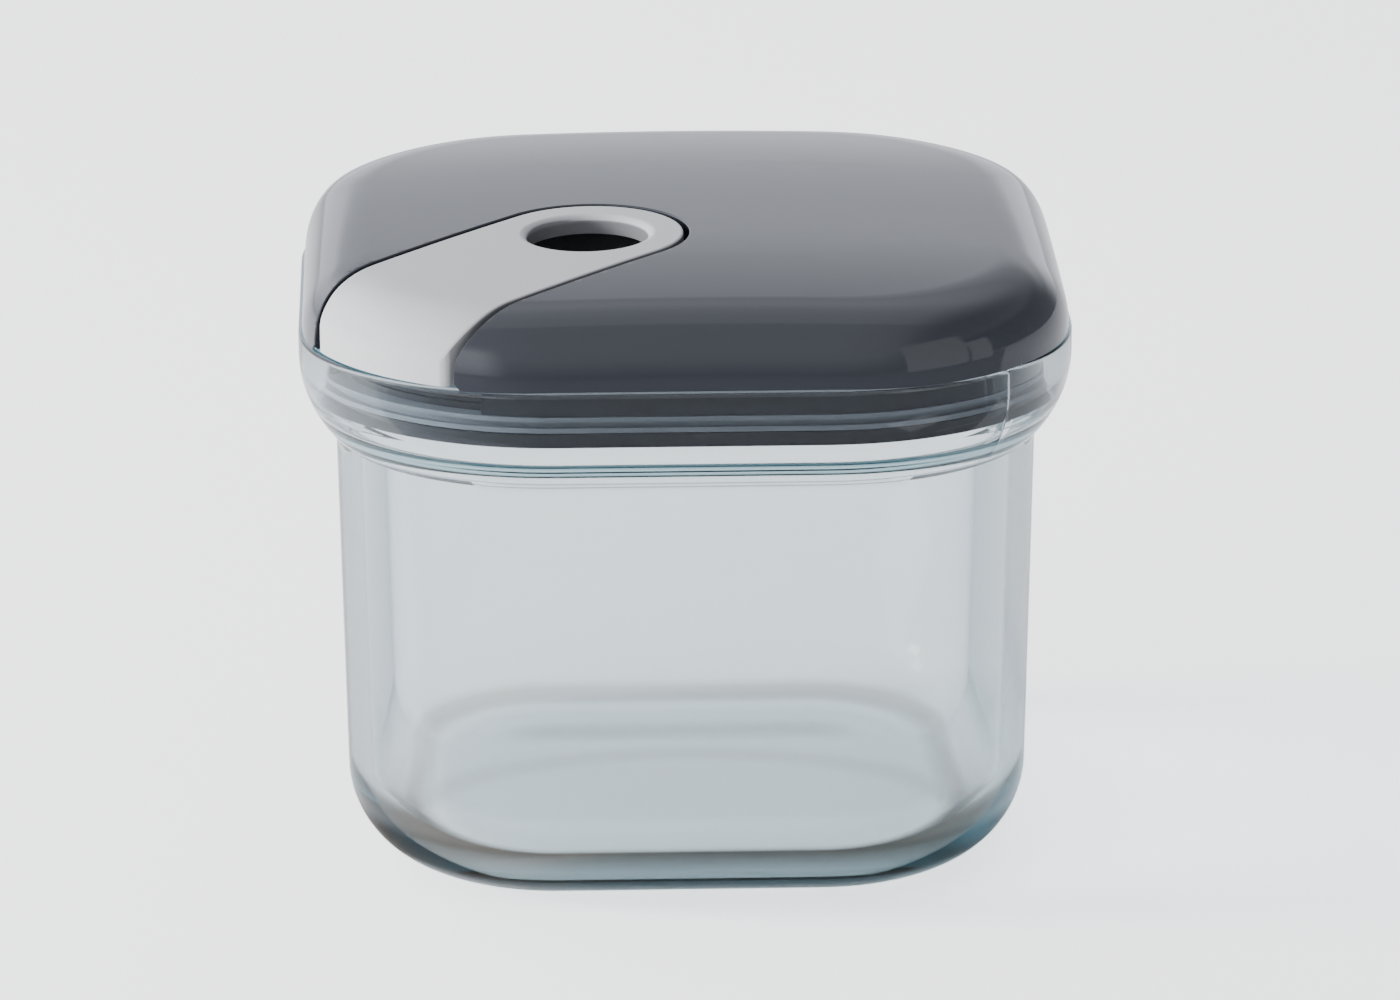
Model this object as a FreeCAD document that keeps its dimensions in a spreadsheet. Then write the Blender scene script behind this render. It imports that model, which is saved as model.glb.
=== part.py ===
import FreeCAD, Part
import math
import os
import Sketcher

doc = FreeCAD.newDocument("lidded_glass_canister")
V = FreeCAD.Vector
UP = V(0, 0, 1)

# Driving sizes in millimetres, measured on the seated lid and the jar
SIZES = [
    ("rim_half_width", 60.0, "middle of the jar to the outside of the glass rim"),
    ("rim_corner_radius", 39.6, "corner radius of the glass rim, outside"),
    ("rim_height", 86.8, "underside of the jar to the top of the rim"),
    ("rim_wall", 4.0, "glass thickness at the rim"),
    ("rim_round", 1.2, "rounding of the rim's two top edges"),
    ("collar_height", 3.7, "upright band below the top of the rim"),
    ("mouth_depth", 9.6, "straight inner wall that takes the lid's plug"),
    ("neck_step", 5.65, "outside of the rim in to the neck under the collar"),
    ("neck_height", 71.5, "underside of the jar to the neck"),
    ("body_taper", 1.15, "neck in to the wall above the foot"),
    ("foot_round", 16.0, "outer rounding between wall and underside"),
    ("body_wall", 3.5, "glass thickness of the wall"),
    ("floor_thickness", 5.0, "glass thickness of the floor"),
    ("foot_ring_width", 4.0, "flat ring that the jar stands on"),
    ("foot_recess", 0.8, "hollow of the underside inside that ring"),
    ("lid_height", 13.05, "top of the rim to the top of the lid"),
    ("lid_inset", 0.6, "edge of the glass to the edge of the lid"),
    ("seat_gap", 0.3, "top of the rim to the underside of the lid"),
    ("crown_roll", 10.9, "rounding of the lid's top edge"),
    ("crown_radius", 1385.0, "dome of the lid's top"),
    ("cover_wall", 2.6, "thickness of the cover"),
    ("skirt_depth", 4.6, "top of the rim down to the end of the cover's skirt"),
    ("skirt_gap", 0.5, "glass to skirt"),
    ("skirt_wall", 2.2, "thickness of the skirt"),
    ("gasket_height", 2.3, "seal ring, top to bottom"),
    ("gasket_gap", 0.3, "glass to the tips of the seal's lips, drawn unsqueezed"),
    ("lip_reach", 0.9, "how far a lip stands out of the seal ring"),
    ("lip_height", 0.7, "thickness of a lip"),
    ("gasket_slack", 0.25, "seal ring to the flange under it"),
    ("flange_gap", 0.7, "glass to the edge of the lid base"),
    ("flange_thickness", 2.0, "thickness of the lid base"),
    ("spigot_height", 4.7, "upstand of the lid base, which snaps into the skirt"),
    ("spigot_wall", 2.0, "thickness of that upstand"),
    ("bead_reach", 0.4, "snap bead, out of the upstand"),
    ("bead_height", 0.6, "snap bead, top to bottom"),
    ("bead_rise", 0.5, "end of the skirt up to the bead"),
    ("fit_gap", 0.05, "clearance between lid pieces that are fixed together"),
    ("ring_from_centre", 21.6, "middle of the lid to the middle of the finger ring"),
    ("lever_half_width", 15.2, "half the width of the lever"),
    ("lever_gap", 0.5, "lever to the edge of its slot"),
    ("tip_gap", 0.4, "further room between the ring's end and the slot"),
    ("lever_skin", 3.0, "thickness of the lever"),
    ("hole_radius", 9.2, "finger hole"),
    ("hole_round", 1.3, "rounding of the finger hole's top edge"),
    ("rib_drop", 6.5, "top of the lid to the underside of the lever's ribs"),
    ("toe_setback", 0.4, "edge of the lid to the front of the lever's toe"),
    ("rib_from_centre", 34.0, "middle of the lid to the start of the lever's ribs"),
    ("rib_thickness", 3.0, "thickness of a rib and of its knuckle"),
    ("ear_from_axis", 7.5, "lever's middle line to the near side of an ear"),
    ("ear_thickness", 3.0, "thickness of an ear on the tray"),
    ("ear_gap", 0.3, "ear to knuckle, along the pin"),
    ("knuckle_radius", 3.0, "ears and knuckles, round the pin"),
    ("pin_from_corner", 11.45, "corner of the rim in to the hinge pin"),
    ("pin_height", 4.7, "top of the rim up to the hinge pin"),
    ("pin_radius", 1.5, "hinge pin"),
    ("pin_clearance", 0.05, "knuckle bore to hinge pin"),
    ("pin_grip", 0.01, "ear bore to hinge pin"),
    ("tray_gap", 0.2, "slot edge back to the tray's wall"),
    ("tray_wall", 2.0, "thickness of the tray's wall"),
    ("tray_floor", 1.8, "thickness of the tray's floor"),
    ("tray_seat_gap", 0.1, "upstand of the lid base to the tray"),
    ("screw_near", 13.0, "middle of the lid to the inner pair of screws, along the lever"),
    ("screw_far", 13.15, "centre of the corner's curve out to the outer pair of screws, along the lever"),
    ("screw_from_axis", 23.0, "lever's middle line to a screw"),
    ("screw_radius", 1.25, "screw shank"),
    ("screw_length", 6.5, "screw under its head"),
    ("screw_head_radius", 2.4, "screw head"),
    ("screw_head_height", 1.6, "screw head"),
    ("screw_slot_width", 0.7, "driver slot in the head"),
    ("screw_slot_depth", 0.8, "driver slot in the head"),
    ("screw_end_gap", 0.5, "end of a screw to the bottom of its hole"),
    ("boss_radius", 3.2, "screw boss under the cover"),
    ("boss_drop", 9.6, "top of the lid down to the end of a boss"),
    ("tab_thickness", 2.0, "tab of the tray under a boss"),
    ("tab_radius", 4.2, "rounded end of a tab"),
]

sheet = doc.addObject("Spreadsheet::Sheet", "Dims")
for row, (alias, number, note) in enumerate(SIZES, start=1):
    sheet.set(f"A{row}", note)
    sheet.set(f"B{row}", str(number))
    sheet.setAlias(f"B{row}", alias)
doc.recompute()

# Heights and places that follow from the driving sizes
lid_top = "(Dims.rim_height + Dims.lid_height)"
lid_under = "(Dims.rim_height + Dims.seat_gap)"
ledge_top = f"({lid_under} + Dims.cover_wall)"
skirt_end = "(Dims.rim_height - Dims.skirt_depth)"
gasket_top = f"({skirt_end} - Dims.fit_gap)"
gasket_end = f"({gasket_top} - Dims.gasket_height)"
flange_top = f"({gasket_end} - Dims.gasket_slack)"
base_end = f"({flange_top} - Dims.flange_thickness)"
spigot_top = f"({flange_top} + Dims.spigot_height)"
bead_end = f"({skirt_end} + Dims.bead_rise)"
tray_end = f"({spigot_top} + Dims.tray_seat_gap)"
floor_top = f"({tray_end} + Dims.tray_floor)"
boss_end = f"({lid_top} - Dims.boss_drop)"
tab_end = f"({boss_end} - Dims.tab_thickness)"
pin_z = "(Dims.rim_height + Dims.pin_height)"
rib_end = f"({lid_top} - Dims.rib_drop)"
work_low = f"({skirt_end} - Dims.crown_roll)"

# Places along the lever, from the middle of the lid towards the front left corner
corner_centre = "((Dims.rim_half_width - Dims.rim_corner_radius) * sqrt(2))"
corner_reach = f"({corner_centre} + Dims.rim_corner_radius)"
pin_place = f"({corner_reach} - Dims.pin_from_corner)"
toe_radius = "(Dims.rim_corner_radius - Dims.lid_inset - Dims.toe_setback)"
slot_half = "(Dims.lever_half_width + Dims.lever_gap)"
tray_half = f"({slot_half} + Dims.tray_gap)"
rib_from_axis = "(Dims.ear_from_axis + Dims.ear_thickness + Dims.ear_gap)"
pin_half = f"({rib_from_axis} + Dims.rib_thickness)"

# Insets from the outside of the glass rim
skirt_inset = "(Dims.rim_wall + Dims.skirt_gap)"
plug_inset = f"({skirt_inset} + Dims.skirt_wall)"
spigot_inset = f"({plug_inset} + Dims.fit_gap)"


def size(expression):
    return float(sheet.evalExpression(expression))


def on_plane(body, name, role, offset="0"):
    """A sketch on one of the body's own origin planes, moved off it along the plane's normal."""
    sketch = body.newObject("Sketcher::SketchObject", name)
    plane = next(item for item in body.Origin.OriginFeatures if item.Role == role)
    sketch.AttachmentSupport = (plane, [""])
    sketch.MapMode = "FlatFace"
    sketch.setExpression("AttachmentOffset.Base.z", offset)
    return sketch


def bind(sketch, constraint, expression):
    index = sketch.addConstraint(constraint)
    sketch.setExpression(f"Constraints[{index}]", expression)


def pin_down(sketch, axis, edge, end, expression):
    """Hold one point's distance from the origin along one axis of the sketch."""
    distance = size(expression)
    if abs(distance) < 1e-9:
        sketch.addConstraint(Sketcher.Constraint("PointOnObject", edge, end, -2 if axis == "X" else -1))
    elif distance > 0:
        bind(sketch, Sketcher.Constraint("Distance" + axis, -1, 1, edge, end, distance), expression)
    else:
        bind(sketch, Sketcher.Constraint("Distance" + axis, edge, end, -1, 1, -distance), f"-({expression})")


def arc_between(start, end, radius, side):
    """An arc from start to end with its centre on the left (side 1) or right (side -1) of the way."""
    chord = end - start
    half = chord.Length / 2
    left = V(-chord.y, chord.x, 0) / chord.Length
    centre = (start + end) / 2 + left * side * math.sqrt(max(radius ** 2 - half ** 2, 0))
    angles = [math.atan2(p.y - centre.y, p.x - centre.x) for p in (start, end)]
    if side < 0:
        angles.reverse()
    if angles[1] < angles[0]:
        angles[1] += 2 * math.pi
    return Part.ArcOfCircle(Part.Circle(centre, UP, radius), *angles)


def draw(sketch, nodes, arcs=None):
    """A closed outline through nodes, with an arc of (radius, side) after each node listed in arcs."""
    arcs = arcs or {}
    points = [V(size(x), size(y), 0) for x, y in nodes]
    ends = []
    for index, point in enumerate(points):
        following = points[(index + 1) % len(points)]
        if index in arcs:
            radius, side = arcs[index]
            sketch.addGeometry(arc_between(point, following, size(radius), side), False)
            ends.append((1, 2) if side > 0 else (2, 1))
        else:
            sketch.addGeometry(Part.LineSegment(point, following), False)
            ends.append((1, 2))
    for index, (x, y) in enumerate(nodes):
        following = (index + 1) % len(nodes)
        joint = Sketcher.Constraint("Coincident", index, ends[index][1], following, ends[following][0])
        sketch.addConstraint(joint)
        pin_down(sketch, "X", index, ends[index][0], x)
        pin_down(sketch, "Y", index, ends[index][0], y)
        if index in arcs:
            radius = arcs[index][0]
            bind(sketch, Sketcher.Constraint("Radius", index, size(radius)), radius)
    return sketch


def rounded_square(body, name, inset, height):
    """The rim's outline drawn inset, so that its corners keep one centre."""
    half = f"(Dims.rim_half_width - {inset})"
    flat = "(Dims.rim_half_width - Dims.rim_corner_radius)"
    corner = f"(Dims.rim_corner_radius - {inset})"
    nodes = [(half, "0"), (half, flat), (flat, half), (f"-{flat}", half), (f"-{half}", flat),
             (f"-{half}", f"-{flat}"), (f"-{flat}", f"-{half}"), (flat, f"-{half}"), (half, f"-{flat}")]
    sketch = on_plane(body, name, "XY_Plane", height)
    return draw(sketch, nodes, {index: (corner, 1) for index in (1, 3, 5, 7)})


def lever_outline(body, name, half_width, height, toe=None):
    """The lever in plan along its own X, closed by an arc at the toe, or its slot, open at the corner."""
    if toe is None:
        ring = "(Dims.ring_from_centre - Dims.tip_gap)"
        reach = f"({corner_reach} + Dims.rim_corner_radius)"
        closing = {}
    else:
        ring = "Dims.ring_from_centre"
        reach = f"({corner_centre} + sqrt({toe} ^ 2 - {half_width} ^ 2))"
        closing = {3: (toe, 1)}
    nodes = [(ring, half_width), (f"({ring} - {half_width})", "0"), (ring, f"-{half_width}"),
             (reach, f"-{half_width}"), (reach, half_width)]
    arcs = {0: (half_width, 1), 1: (half_width, 1)}
    arcs.update(closing)
    return draw(on_plane(body, name, "XY_Plane", height), nodes, arcs)


def new_body(name, along_lever=False):
    body = doc.addObject("PartDesign::Body", name)
    if along_lever:
        body.Placement = FreeCAD.Placement(V(0, 0, 0), FreeCAD.Rotation(UP, 225))
    return body


def pad(body, sketch, length, reverse=False):
    feature = body.newObject("PartDesign::Pad", sketch.Name + "_pad")
    feature.Profile = sketch
    feature.Reversed = reverse
    feature.setExpression("Length", length)
    return feature


def pocket_up(body, sketch, length):
    """A pocket that cuts from its sketch upwards."""
    feature = body.newObject("PartDesign::Pocket", sketch.Name + "_pocket")
    feature.Profile = sketch
    feature.Reversed = True
    feature.setExpression("Length", length)
    return feature


def square_block(name, inset, low, high):
    body = new_body(name)
    pad(body, rounded_square(body, name + "_outline", inset, low), f"{high} - {low}")
    return body


def lever_block(name, half_width, low, high, toe=None):
    body = new_body(name, along_lever=True)
    pad(body, lever_outline(body, name + "_outline", half_width, low, toe), f"{high} - {low}")
    return body


def place(item, along, across, height):
    """Put a primitive at a place given along and across the lever."""
    item.setExpression("Placement.Base.x", f"(-({along}) + ({across})) / sqrt(2)")
    item.setExpression("Placement.Base.y", f"(-({along}) - ({across})) / sqrt(2)")
    item.setExpression("Placement.Base.z", height)


def upright(name, along, across, radius, low, high):
    """A round post at a place given along and across the lever."""
    post = doc.addObject("Part::Cylinder", name)
    post.setExpression("Radius", radius)
    post.setExpression("Height", f"{high} - {low}")
    place(post, along, across, low)
    return post


def cross_pin(name, radius, half_length):
    """A round bar along the hinge's axis, centred on the lever."""
    bar = doc.addObject("Part::Cylinder", name)
    bar.setExpression("Radius", radius)
    bar.setExpression("Height", f"2 * {half_length}")
    bar.Placement.Rotation = FreeCAD.Rotation(UP, V(1, -1, 0))
    place(bar, pin_place, f"-{half_length}", pin_z)
    return bar


def fuse(name, pieces):
    whole = doc.addObject("Part::MultiFuse", name)
    whole.Shapes = pieces
    whole.Refine = True
    return whole


def common(name, first, second):
    shared = doc.addObject("Part::Common", name)
    shared.Base = first
    shared.Tool = second
    return shared


def cut(name, base, tool):
    rest = doc.addObject("Part::Cut", name)
    rest.Base = base
    rest.Tool = tool
    rest.Refine = True
    return rest


def rounded(name, base, radius, chosen):
    """Round the edges of base that chosen accepts."""
    doc.recompute()
    edges = [index for index, edge in enumerate(base.Shape.Edges, start=1) if chosen(edge)]
    feature = doc.addObject("Part::Fillet", name)
    feature.Base = base
    feature.Edges = [(index, radius, radius) for index in edges]
    return feature


def crown(name, depth, low):
    """The lid's domed and rolled form, set in by depth from its outside, with straight sides down to low."""
    block = square_block(name + "_block", f"(Dims.lid_inset + {depth})", low, lid_top)
    dome = doc.addObject("Part::Sphere", name + "_dome")
    dome.Placement.Rotation = FreeCAD.Rotation(V(1, 0, 0), 90)
    dome.setExpression("Radius", f"Dims.crown_radius - {depth}")
    dome.setExpression("Placement.Base.z", f"{lid_top} - Dims.crown_radius")
    domed = common(name + "_domed", block, dome)
    corner_wall = size(f"{lid_top} - {low} - {corner_reach} ^ 2 / (2 * Dims.crown_radius) - Dims.fit_gap")
    roll = min(size(f"Dims.crown_roll - {depth}"), corner_wall)
    middle = size(f"({lid_top} + {low}) / 2")
    return rounded(name, domed, roll, lambda edge: edge.BoundBox.ZMin > middle)


def slab(name, low):
    """Everything above a height, as wide as the lid."""
    box = doc.addObject("Part::Box", name)
    box.setExpression("Length", "2 * Dims.rim_half_width")
    box.setExpression("Width", "2 * Dims.rim_half_width")
    box.setExpression("Height", f"{lid_top} - {low}")
    box.setExpression("Placement.Base.x", "-Dims.rim_half_width")
    box.setExpression("Placement.Base.y", "-Dims.rim_half_width")
    box.setExpression("Placement.Base.z", low)
    return box


# The pressed glass jar: one wall section carried round the rounded square, and a floor
jar = new_body("glass_jar")
neck_half = "(Dims.rim_half_width - Dims.neck_step)"
foot_half = f"({neck_half} - Dims.body_taper)"
foot_core = f"({foot_half} - Dims.foot_round)"
inner_round = "(Dims.foot_round - Dims.body_wall)"
inner_foot = f"({foot_half} - Dims.body_wall)"
inner_neck = f"({neck_half} - Dims.body_wall)"
mouth_half = "(Dims.rim_half_width - Dims.rim_wall)"
mouth_end = "(Dims.rim_height - Dims.mouth_depth)"
shoulder_step = f"(({mouth_half} - {inner_neck}) / 2)"
collar_end = "(Dims.rim_height - Dims.collar_height)"
shoulder_down = f"({collar_end} - Dims.neck_height)"
shoulder_radius = f"((Dims.neck_step ^ 2 + {shoulder_down} ^ 2) / (2 * Dims.neck_step))"
rim_edge = "(Dims.rim_height - Dims.rim_round)"
wall_nodes = [
    (foot_core, "0"),
    (foot_half, "Dims.foot_round"),
    (neck_half, "Dims.neck_height"),
    ("Dims.rim_half_width", collar_end),
    ("Dims.rim_half_width", rim_edge),
    ("(Dims.rim_half_width - Dims.rim_round)", "Dims.rim_height"),
    (f"({mouth_half} + Dims.rim_round)", "Dims.rim_height"),
    (mouth_half, rim_edge),
    (mouth_half, mouth_end),
    (f"({mouth_half} - {shoulder_step})", f"({mouth_end} - {shoulder_step})"),
    (inner_neck, f"({mouth_end} - 2 * {shoulder_step})"),
    (inner_foot, f"(Dims.floor_thickness + {inner_round})"),
    (foot_core, "Dims.floor_thickness"),
]
wall_arcs = {
    0: ("Dims.foot_round", 1),
    2: (shoulder_radius, 1),
    4: ("Dims.rim_round", 1),
    6: ("Dims.rim_round", 1),
    8: (shoulder_step, -1),
    9: (shoulder_step, 1),
    11: (inner_round, -1),
}
spine = rounded_square(jar, "jar_spine", "0", "0")
section = draw(on_plane(jar, "jar_section", "XZ_Plane"), wall_nodes, wall_arcs)
doc.recompute()
wall = jar.newObject("PartDesign::AdditivePipe", "jar_wall")
wall.Profile = section
wall.Spine = (spine, [f"Edge{number + 1}" for number in range(spine.GeometryCount)])
core_inset = f"(Dims.rim_half_width - {foot_core})"
pad(jar, rounded_square(jar, "jar_floor", core_inset, "0"), "Dims.floor_thickness")
recess = rounded_square(jar, "jar_recess", f"({core_inset} + Dims.foot_ring_width)", "0")
pocket_up(jar, recess, "Dims.foot_recess")

# The form that the cover and the lever share
lid_form = crown("lid_form", "0", lid_under)

# The gloss cover: a shell with a ledge over the rim, a skirt inside it and a slot for the lever
skirt = square_block("skirt", skirt_inset, skirt_end, ledge_top)
hollow = common("cover_hollow", crown("inner_crown", "Dims.cover_wall", work_low),
                slab("above_ledge", ledge_top))
plug_bore = square_block("plug_bore", plug_inset, f"({skirt_end} - Dims.fit_gap)", ledge_top)
bead_groove = square_block("bead_groove", f"({plug_inset} - Dims.bead_reach)",
                           f"({bead_end} - Dims.fit_gap)", f"({bead_end} + Dims.bead_height + Dims.fit_gap)")
slot = lever_block("lever_slot", slot_half, work_low, f"({lid_top} + Dims.cover_wall)")
shell = cut("cover_shell", fuse("cover_block", [lid_form, skirt]),
            fuse("cover_cuts", [hollow, plug_bore, bead_groove, slot]))

screw_places = []
for pair, along in (("near", "Dims.screw_near"), ("far", f"({corner_centre} + Dims.screw_far)")):
    for hand, across in (("left", "-Dims.screw_from_axis"), ("right", "Dims.screw_from_axis")):
        screw_places.append((f"{pair}_{hand}", along, across))

screw_top = f"({tab_end} + Dims.screw_length)"
bosses = [upright("boss_" + name, along, across, "Dims.boss_radius", boss_end, lid_top)
          for name, along, across in screw_places]
boss_holes = [upright("boss_hole_" + name, along, across, "(Dims.screw_radius + Dims.pin_grip)",
                      boss_end, f"({screw_top} + Dims.screw_end_gap)")
              for name, along, across in screw_places]
trimmed_bosses = common("trimmed_bosses", fuse("bosses", bosses), lid_form)
cover = cut("lid_cover", fuse("cover_with_bosses", [shell, trimmed_bosses]), fuse("boss_holes", boss_holes))

# The lid base: a plate with a flange under the seal and an upstand that snaps into the skirt
base = new_body("lid_base")
pad(base, rounded_square(base, "base_plate", "(Dims.rim_wall + Dims.flange_gap)", base_end),
    "Dims.flange_thickness")
pad(base, rounded_square(base, "base_spigot", spigot_inset, flange_top), "Dims.spigot_height")
pad(base, rounded_square(base, "base_bead", f"({spigot_inset} - Dims.bead_reach)", bead_end),
    "Dims.bead_height")
pocket_up(base, rounded_square(base, "base_hollow", f"({spigot_inset} + Dims.spigot_wall)", flange_top),
          "Dims.spigot_height")

# The seal ring: a soft ring with two lips, held between the skirt and the flange
gasket = new_body("lid_gasket")
lip_inset = "(Dims.rim_wall + Dims.gasket_gap)"
pad(gasket, rounded_square(gasket, "gasket_ring", f"({lip_inset} + Dims.lip_reach)", gasket_end),
    "Dims.gasket_height")
upper_lip_end = f"({gasket_top} - Dims.lip_height)"
for name, low in (("gasket_lower_lip", gasket_end), ("gasket_upper_lip", upper_lip_end)):
    pad(gasket, rounded_square(gasket, name, lip_inset, low), "Dims.lip_height")
pocket_up(gasket, rounded_square(gasket, "gasket_bore", plug_inset, gasket_end), "Dims.gasket_height")

# The tray under the lever: a tub that follows the slot, with ears for the pin and tabs for the screws
tray_body = new_body("tray_tub", along_lever=True)
tray_height = f"({lid_top} - {tray_end})"
tray_outside = f"({tray_half} + Dims.tray_wall)"
pad(tray_body, lever_outline(tray_body, "tray_outline", tray_outside, tray_end), tray_height)
for name, along, across in screw_places:
    side = "-" if across.startswith("-") else ""
    tab = on_plane(tray_body, "tab_" + name, "XY_Plane", tab_end)
    wall_side = f"{side}({tray_half})"
    low_side = f"({along} - Dims.tab_radius)"
    high_side = f"({along} + Dims.tab_radius)"
    tip = f"{side}(Dims.screw_from_axis + Dims.tab_radius)"
    turn = -1 if side else 1
    draw(tab, [(low_side, wall_side), (high_side, wall_side), (high_side, across),
               (along, tip), (low_side, across)],
         {2: ("Dims.tab_radius", turn), 3: ("Dims.tab_radius", turn)})
    pad(tray_body, tab, "Dims.tab_thickness")
pocket_up(tray_body, lever_outline(tray_body, "tray_pocket", tray_half, floor_top), tray_height)
for hand, sign in (("left", -1), ("right", 1)):
    ear = on_plane(tray_body, "ear_" + hand, "XZ_Plane", f"{sign} * Dims.ear_from_axis")
    near = f"({pin_place} - Dims.knuckle_radius)"
    far = f"({pin_place} + Dims.knuckle_radius)"
    draw(ear, [(near, tray_end), (far, tray_end), (far, pin_z),
               (pin_place, f"({pin_z} + Dims.knuckle_radius)"), (near, pin_z)],
         {2: ("Dims.knuckle_radius", 1), 3: ("Dims.knuckle_radius", 1)})
    pad(tray_body, ear, "Dims.ear_thickness", reverse=sign < 0)
room_under_cover = fuse("room_under_cover", [
    common("tray_room", crown("tray_crown", "(Dims.cover_wall + Dims.fit_gap)", work_low),
           slab("above_ledge_gap", f"({ledge_top} + Dims.fit_gap)")),
    square_block("tray_plug_room", spigot_inset, work_low, f"({ledge_top} + 2 * Dims.fit_gap)")])
tray_fitted = common("tray_fitted", tray_body, room_under_cover)
tab_holes = [upright("tab_hole_" + name, along, across, "(Dims.screw_radius + Dims.pin_clearance)",
                     tab_end, boss_end)
             for name, along, across in screw_places]
ear_bore = cross_pin("ear_bore", "(Dims.pin_radius + Dims.pin_grip)", pin_half)
tray = cut("lever_tray", tray_fitted, fuse("tray_bores", tab_holes + [ear_bore]))

# The screws that hold the tray to the bosses, from below
screws = doc.addObject("Part::Compound", "tray_screws")
screw_pieces = []
head_end = f"({tab_end} - Dims.screw_head_height)"
for name, along, across in screw_places:
    shank = upright("shank_" + name, along, across, "Dims.screw_radius", tab_end, screw_top)
    head = upright("head_" + name, along, across, "Dims.screw_head_radius", head_end, tab_end)
    groove = doc.addObject("Part::Box", "driver_slot_" + name)
    groove.Placement.Rotation = FreeCAD.Rotation(UP, 225)
    groove.setExpression("Length", "2 * Dims.screw_head_radius")
    groove.setExpression("Width", "Dims.screw_slot_width")
    groove.setExpression("Height", "Dims.screw_slot_depth")
    place(groove, f"{along} - Dims.screw_head_radius", f"{across} - Dims.screw_slot_width / 2", head_end)
    screw_pieces.append(cut("screw_" + name, fuse("screw_blank_" + name, [shank, head]), groove))
screws.Links = screw_pieces

# The hinge pin, gripped by the tray's ears
pin = cross_pin("hinge_pin", "Dims.pin_radius", pin_half)

# The lever: a skin of the lid's own form with a finger hole, ribs that end in knuckles, and a toe
lever_blank = common("lever_blank", lid_form,
                     lever_block("lever_plan", "Dims.lever_half_width", work_low, lid_top, toe_radius))
ribs = new_body("lever_ribs", along_lever=True)
for hand, sign in (("left", -1), ("right", 1)):
    rib = on_plane(ribs, "rib_" + hand, "XZ_Plane", f"{sign} * {rib_from_axis}")
    near = f"({pin_place} - Dims.knuckle_radius)"
    far = f"({pin_place} + Dims.knuckle_radius)"
    draw(rib, [("Dims.rib_from_centre", rib_end), (near, rib_end), (near, pin_z),
               (pin_place, f"({pin_z} - Dims.knuckle_radius)"), (far, pin_z), (far, rib_end),
               (corner_reach, rib_end), (corner_reach, lid_top), ("Dims.rib_from_centre", lid_top)],
         {2: ("Dims.knuckle_radius", 1), 3: ("Dims.knuckle_radius", 1)})
    pad(ribs, rib, "Dims.rib_thickness", reverse=sign < 0)
underside = cut("lever_underside", crown("lever_crown", "Dims.lever_skin", work_low), ribs)
lever_shell = cut("lever_shell", lever_blank, underside)
finger_hole = upright("finger_hole", "Dims.ring_from_centre", "0", "Dims.hole_radius", work_low, lid_top)
knuckle_bore = cross_pin("knuckle_bore", "(Dims.pin_radius + Dims.pin_clearance)",
                         f"({pin_half} + Dims.ear_gap)")
lever_bored = cut("lever_bored", lever_shell, fuse("lever_bores", [finger_hole, knuckle_bore]))


def at_hole_top(edge):
    """Whether an edge is the finger hole's upper rim."""
    return edge.isClosed() and edge.CenterOfMass.z > size(f"{lid_top} - Dims.lever_skin / 2")


lever = rounded("lever", lever_bored, size("Dims.hole_round"), at_hole_top)

NODES = {
    "glass_jar": jar,
    "lid_cover": cover,
    "lever_tray": tray,
    "tray_screws": screws,
    "hinge_pin": pin,
    "lid_base": base,
    "lid_gasket": gasket,
    "lever": lever,
}

doc.recompute()
for item in doc.Objects:
    if "Invalid" in item.State or "Error" in item.State:
        raise RuntimeError(f"{item.Name} failed: {item.State}")
for node, item in NODES.items():
    item.Label = node
    if item.Shape.isNull() or not item.Shape.isValid():
        raise RuntimeError(f"{node} has no valid shape")

os.makedirs("parts", exist_ok=True)
for node, item in NODES.items():
    item.Shape.exportStep(f"parts/{node}.step")
    box = item.Shape.optimalBoundingBox()
    print(f"{node}: {len(item.Shape.Solids)} solids, {item.Shape.Volume:.0f} cubic mm,",
          f"z {box.ZMin:.2f} to {box.ZMax:.2f}")
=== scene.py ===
import math

import bmesh
import bpy
from mathutils import Matrix, Vector


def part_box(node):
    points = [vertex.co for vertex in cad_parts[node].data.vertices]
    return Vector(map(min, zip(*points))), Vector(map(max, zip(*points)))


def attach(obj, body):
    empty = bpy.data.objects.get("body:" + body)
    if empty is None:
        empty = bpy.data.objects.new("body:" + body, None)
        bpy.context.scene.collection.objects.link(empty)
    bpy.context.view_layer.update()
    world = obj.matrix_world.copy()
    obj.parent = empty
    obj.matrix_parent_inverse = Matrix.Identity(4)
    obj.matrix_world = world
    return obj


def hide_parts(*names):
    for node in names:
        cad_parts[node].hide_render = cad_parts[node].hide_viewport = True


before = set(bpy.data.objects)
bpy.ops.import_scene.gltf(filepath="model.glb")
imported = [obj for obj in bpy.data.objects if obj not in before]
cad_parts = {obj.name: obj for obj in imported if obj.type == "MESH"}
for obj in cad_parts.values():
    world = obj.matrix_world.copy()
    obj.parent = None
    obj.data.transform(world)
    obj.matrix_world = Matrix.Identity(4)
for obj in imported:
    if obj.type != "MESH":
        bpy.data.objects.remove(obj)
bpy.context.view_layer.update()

# The jar: clear glass, pressed in one piece, with a flared collar, an upright rim and a thick floor. Its wall
# is one section carried round a rounded square, so every ring of it keeps the same corner centres. A low seam
# stands on two corners of the collar, where the halves of the mould met.
MM = 0.001
NEAR = 0.001 * MM
RIM_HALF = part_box("glass_jar")[1].x
RIM_DROP = 0.35 * MM
RIM_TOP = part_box("glass_jar")[1].z - RIM_DROP
RIM_CORNER = 39.6 * MM
RIM_WALL = 4.0 * MM
RIM_ROUND = 0.8 * MM
RIM_STEPS = 6
COLLAR_LOW = RIM_TOP - 3.7 * MM
COLLAR_STEPS = 10
MOUTH_LOW = RIM_TOP - 9.6 * MM
NECK_HALF = RIM_HALF - 5.65 * MM
NECK_HEIGHT = 70.0 * MM
NECK_FILLET = 1.4 * MM
NECK_STEPS = 5
NECK_DRAFT = 0.03 * MM
NECK_RUN = 1.5 * MM
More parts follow.
